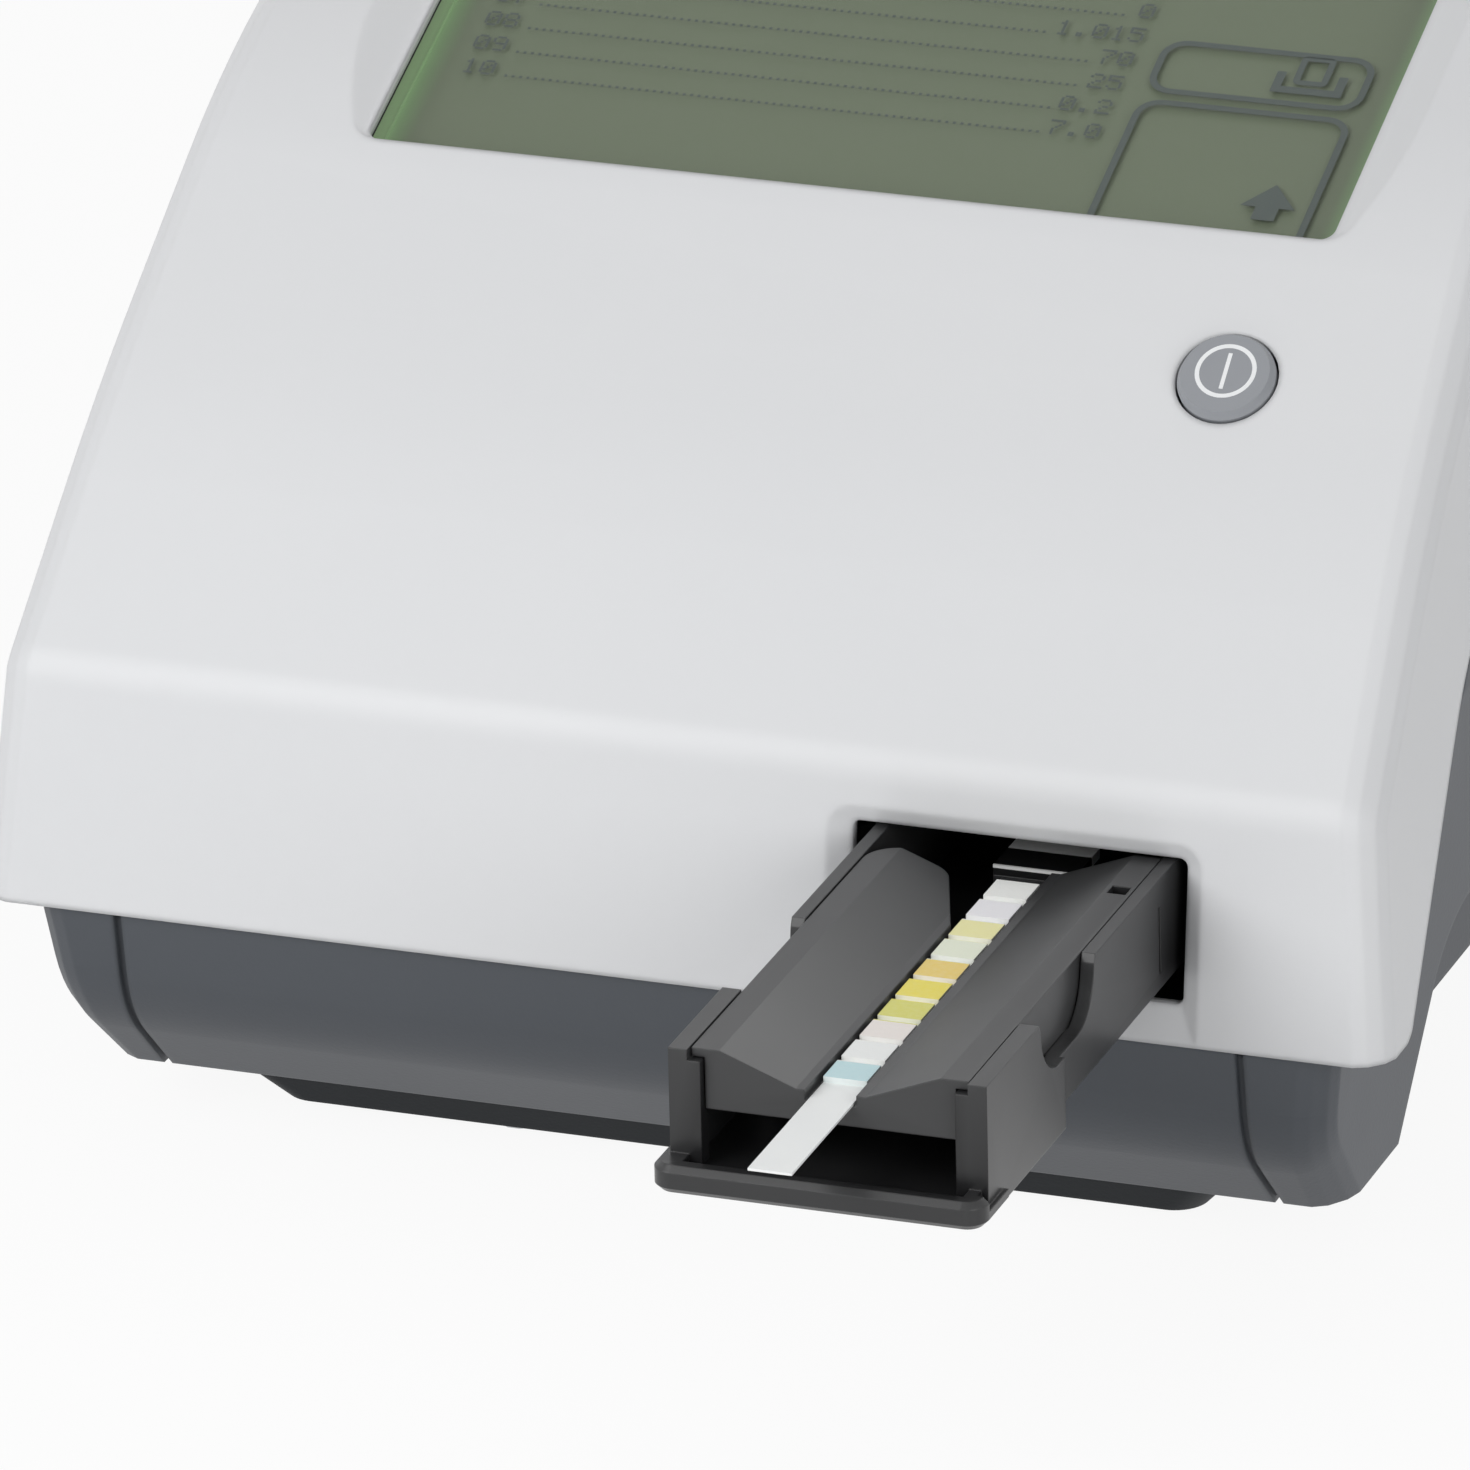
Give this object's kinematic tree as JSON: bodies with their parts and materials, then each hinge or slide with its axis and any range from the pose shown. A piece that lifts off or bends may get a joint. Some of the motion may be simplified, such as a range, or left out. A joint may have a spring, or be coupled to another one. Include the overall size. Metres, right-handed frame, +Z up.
{
  "type": "urine analyzer",
  "caption": "Desktop urine strip analyzer with a sloping touch display, a printer under a hinged lid and a motor-driven strip table that slides out of the front.",
  "frame": {"origin": "bottom centre of the bounding box of the whole unit with its strip table run out and a strip on it, on the plane that its feet rest on", "axes": "+X to the right as seen by someone who stands in front, +Y from the front to the back, +Z up"},
  "size_m": [0.171, 0.3526, 0.158],
  "materials": {
    "shell": "fine satin",
    "housing": "fine satin",
    "pan": "fine satin",
    "rubber": "plain",
    "steel": "plain",
    "tray": "moulded",
    "gear": "moulded",
    "screen": "clear",
    "display": "liquid crystal",
    "button": "fine satin",
    "board": "solder mask",
    "chip": "moulded",
    "ribbon": "flat cable",
    "bright": "white reference",
    "strip": "film",
    "pads": "dyed paper",
    "lens": "clear",
    "motor": "plated",
    "cells": "wrapped",
    "paper": "thermal paper",
    "core": "moulded",
    "inner": "moulded"
  },
  "bodies": {
    "unit": {"top_cover": "shell", "lid_hinge_pins": "steel", "display_gasket": "rubber", "touch_screen": "screen", "display_module": "display", "display_board": "board", "button_switch": "chip", "button_board": "board", "lower_housing": "housing", "base_pan": "pan", "rubber_feet": "rubber", "case_screws": "steel", "battery_holder": "inner", "battery_cells": "cells", "table_motor": "motor", "table_guide": "inner", "optics_housing": "inner", "optics_lens": "lens", "optics_board": "board", "light_sensor": "chip", "optics_lamps": "bright", "board_standoffs": "steel", "main_board": "board", "board_chips": "chip", "beeper": "chip", "display_ribbon": "ribbon", "port_board": "board", "power_jack": "chip", "serial_port": "steel", "card_slot": "steel", "printer_frame": "steel", "printer_motor": "motor", "thermal_head": "inner", "tear_bar": "steel", "paper_bucket": "inner", "printer_stand": "inner"},
    "table": {"test_table": "tray", "table_rack": "gear", "table_insert": "tray", "calibration_bar": "bright", "test_strip": "strip", "reagent_pads": "pads"},
    "drive": {"drive_pinion": "gear"},
    "button": {"power_button": "button"},
    "lid": {"printer_lid": "shell"},
    "platen": {"platen_roller": "rubber", "platen_shaft": "steel", "platen_gear": "gear"},
    "idler": {"idler_gear": "gear"},
    "printer_drive": {"printer_pinion": "gear"},
    "roll": {"paper_roll": "paper", "roll_core": "core"},
    "door": {"battery_door": "pan"},
    "card": {"memory_card": "chip"}
  },
  "joints": [
    {"name": "table_slide", "type": "slide", "parent": "unit", "child": "table", "axis": [0, 1, 0], "range_m": [0, 0.062]},
    {"name": "pinion_spin", "type": "hinge", "parent": "unit", "child": "drive", "pos_m": [0.04165, -0.0577, 0.0299], "axis": [1, 0, 0], "range_deg": [-508, 0]},
    {"name": "button_press", "type": "slide", "parent": "unit", "child": "button", "axis": [0, 0.6, -0.8], "range_m": [0, 0.001], "stiffness_N_per_m": 400, "springref_m": -0.0005},
    {"name": "lid_hinge", "type": "hinge", "parent": "unit", "child": "lid", "pos_m": [0, 0.1253, 0.1563], "axis": [-1, 0, 0], "range_deg": [0, 100]},
    {"name": "platen_spin", "type": "hinge", "parent": "unit", "child": "platen", "pos_m": [0, 0.0688, 0.143], "axis": [1, 0, 0], "continuous": true},
    {"name": "idler_spin", "type": "hinge", "parent": "unit", "child": "idler", "pos_m": [0.0365, 0.07256, 0.13266], "axis": [1, 0, 0], "continuous": true},
    {"name": "printer_drive_spin", "type": "hinge", "parent": "unit", "child": "printer_drive", "pos_m": [0.0365, 0.06983, 0.12515], "axis": [1, 0, 0], "continuous": true},
    {"name": "roll_spin", "type": "hinge", "parent": "unit", "child": "roll", "pos_m": [0, 0.1048, 0.1193], "axis": [1, 0, 0], "continuous": true},
    {"name": "door_slide", "type": "slide", "parent": "unit", "child": "door", "axis": [0, 1, 0], "range_m": [0, 0.008]},
    {"name": "card_slide", "type": "slide", "parent": "unit", "child": "card", "axis": [0, 1, 0], "range_m": [0, 0.02]}
  ],
  "couplings": [
    {"joint": "pinion_spin", "follows": "table_slide", "rad_per_m": -142.86},
    {"joint": "idler_spin", "follows": "platen_spin", "ratio": -1.2},
    {"joint": "printer_drive_spin", "follows": "platen_spin", "ratio": 2},
    {"joint": "roll_spin", "follows": "platen_spin", "ratio": 0.19048}
  ]
}
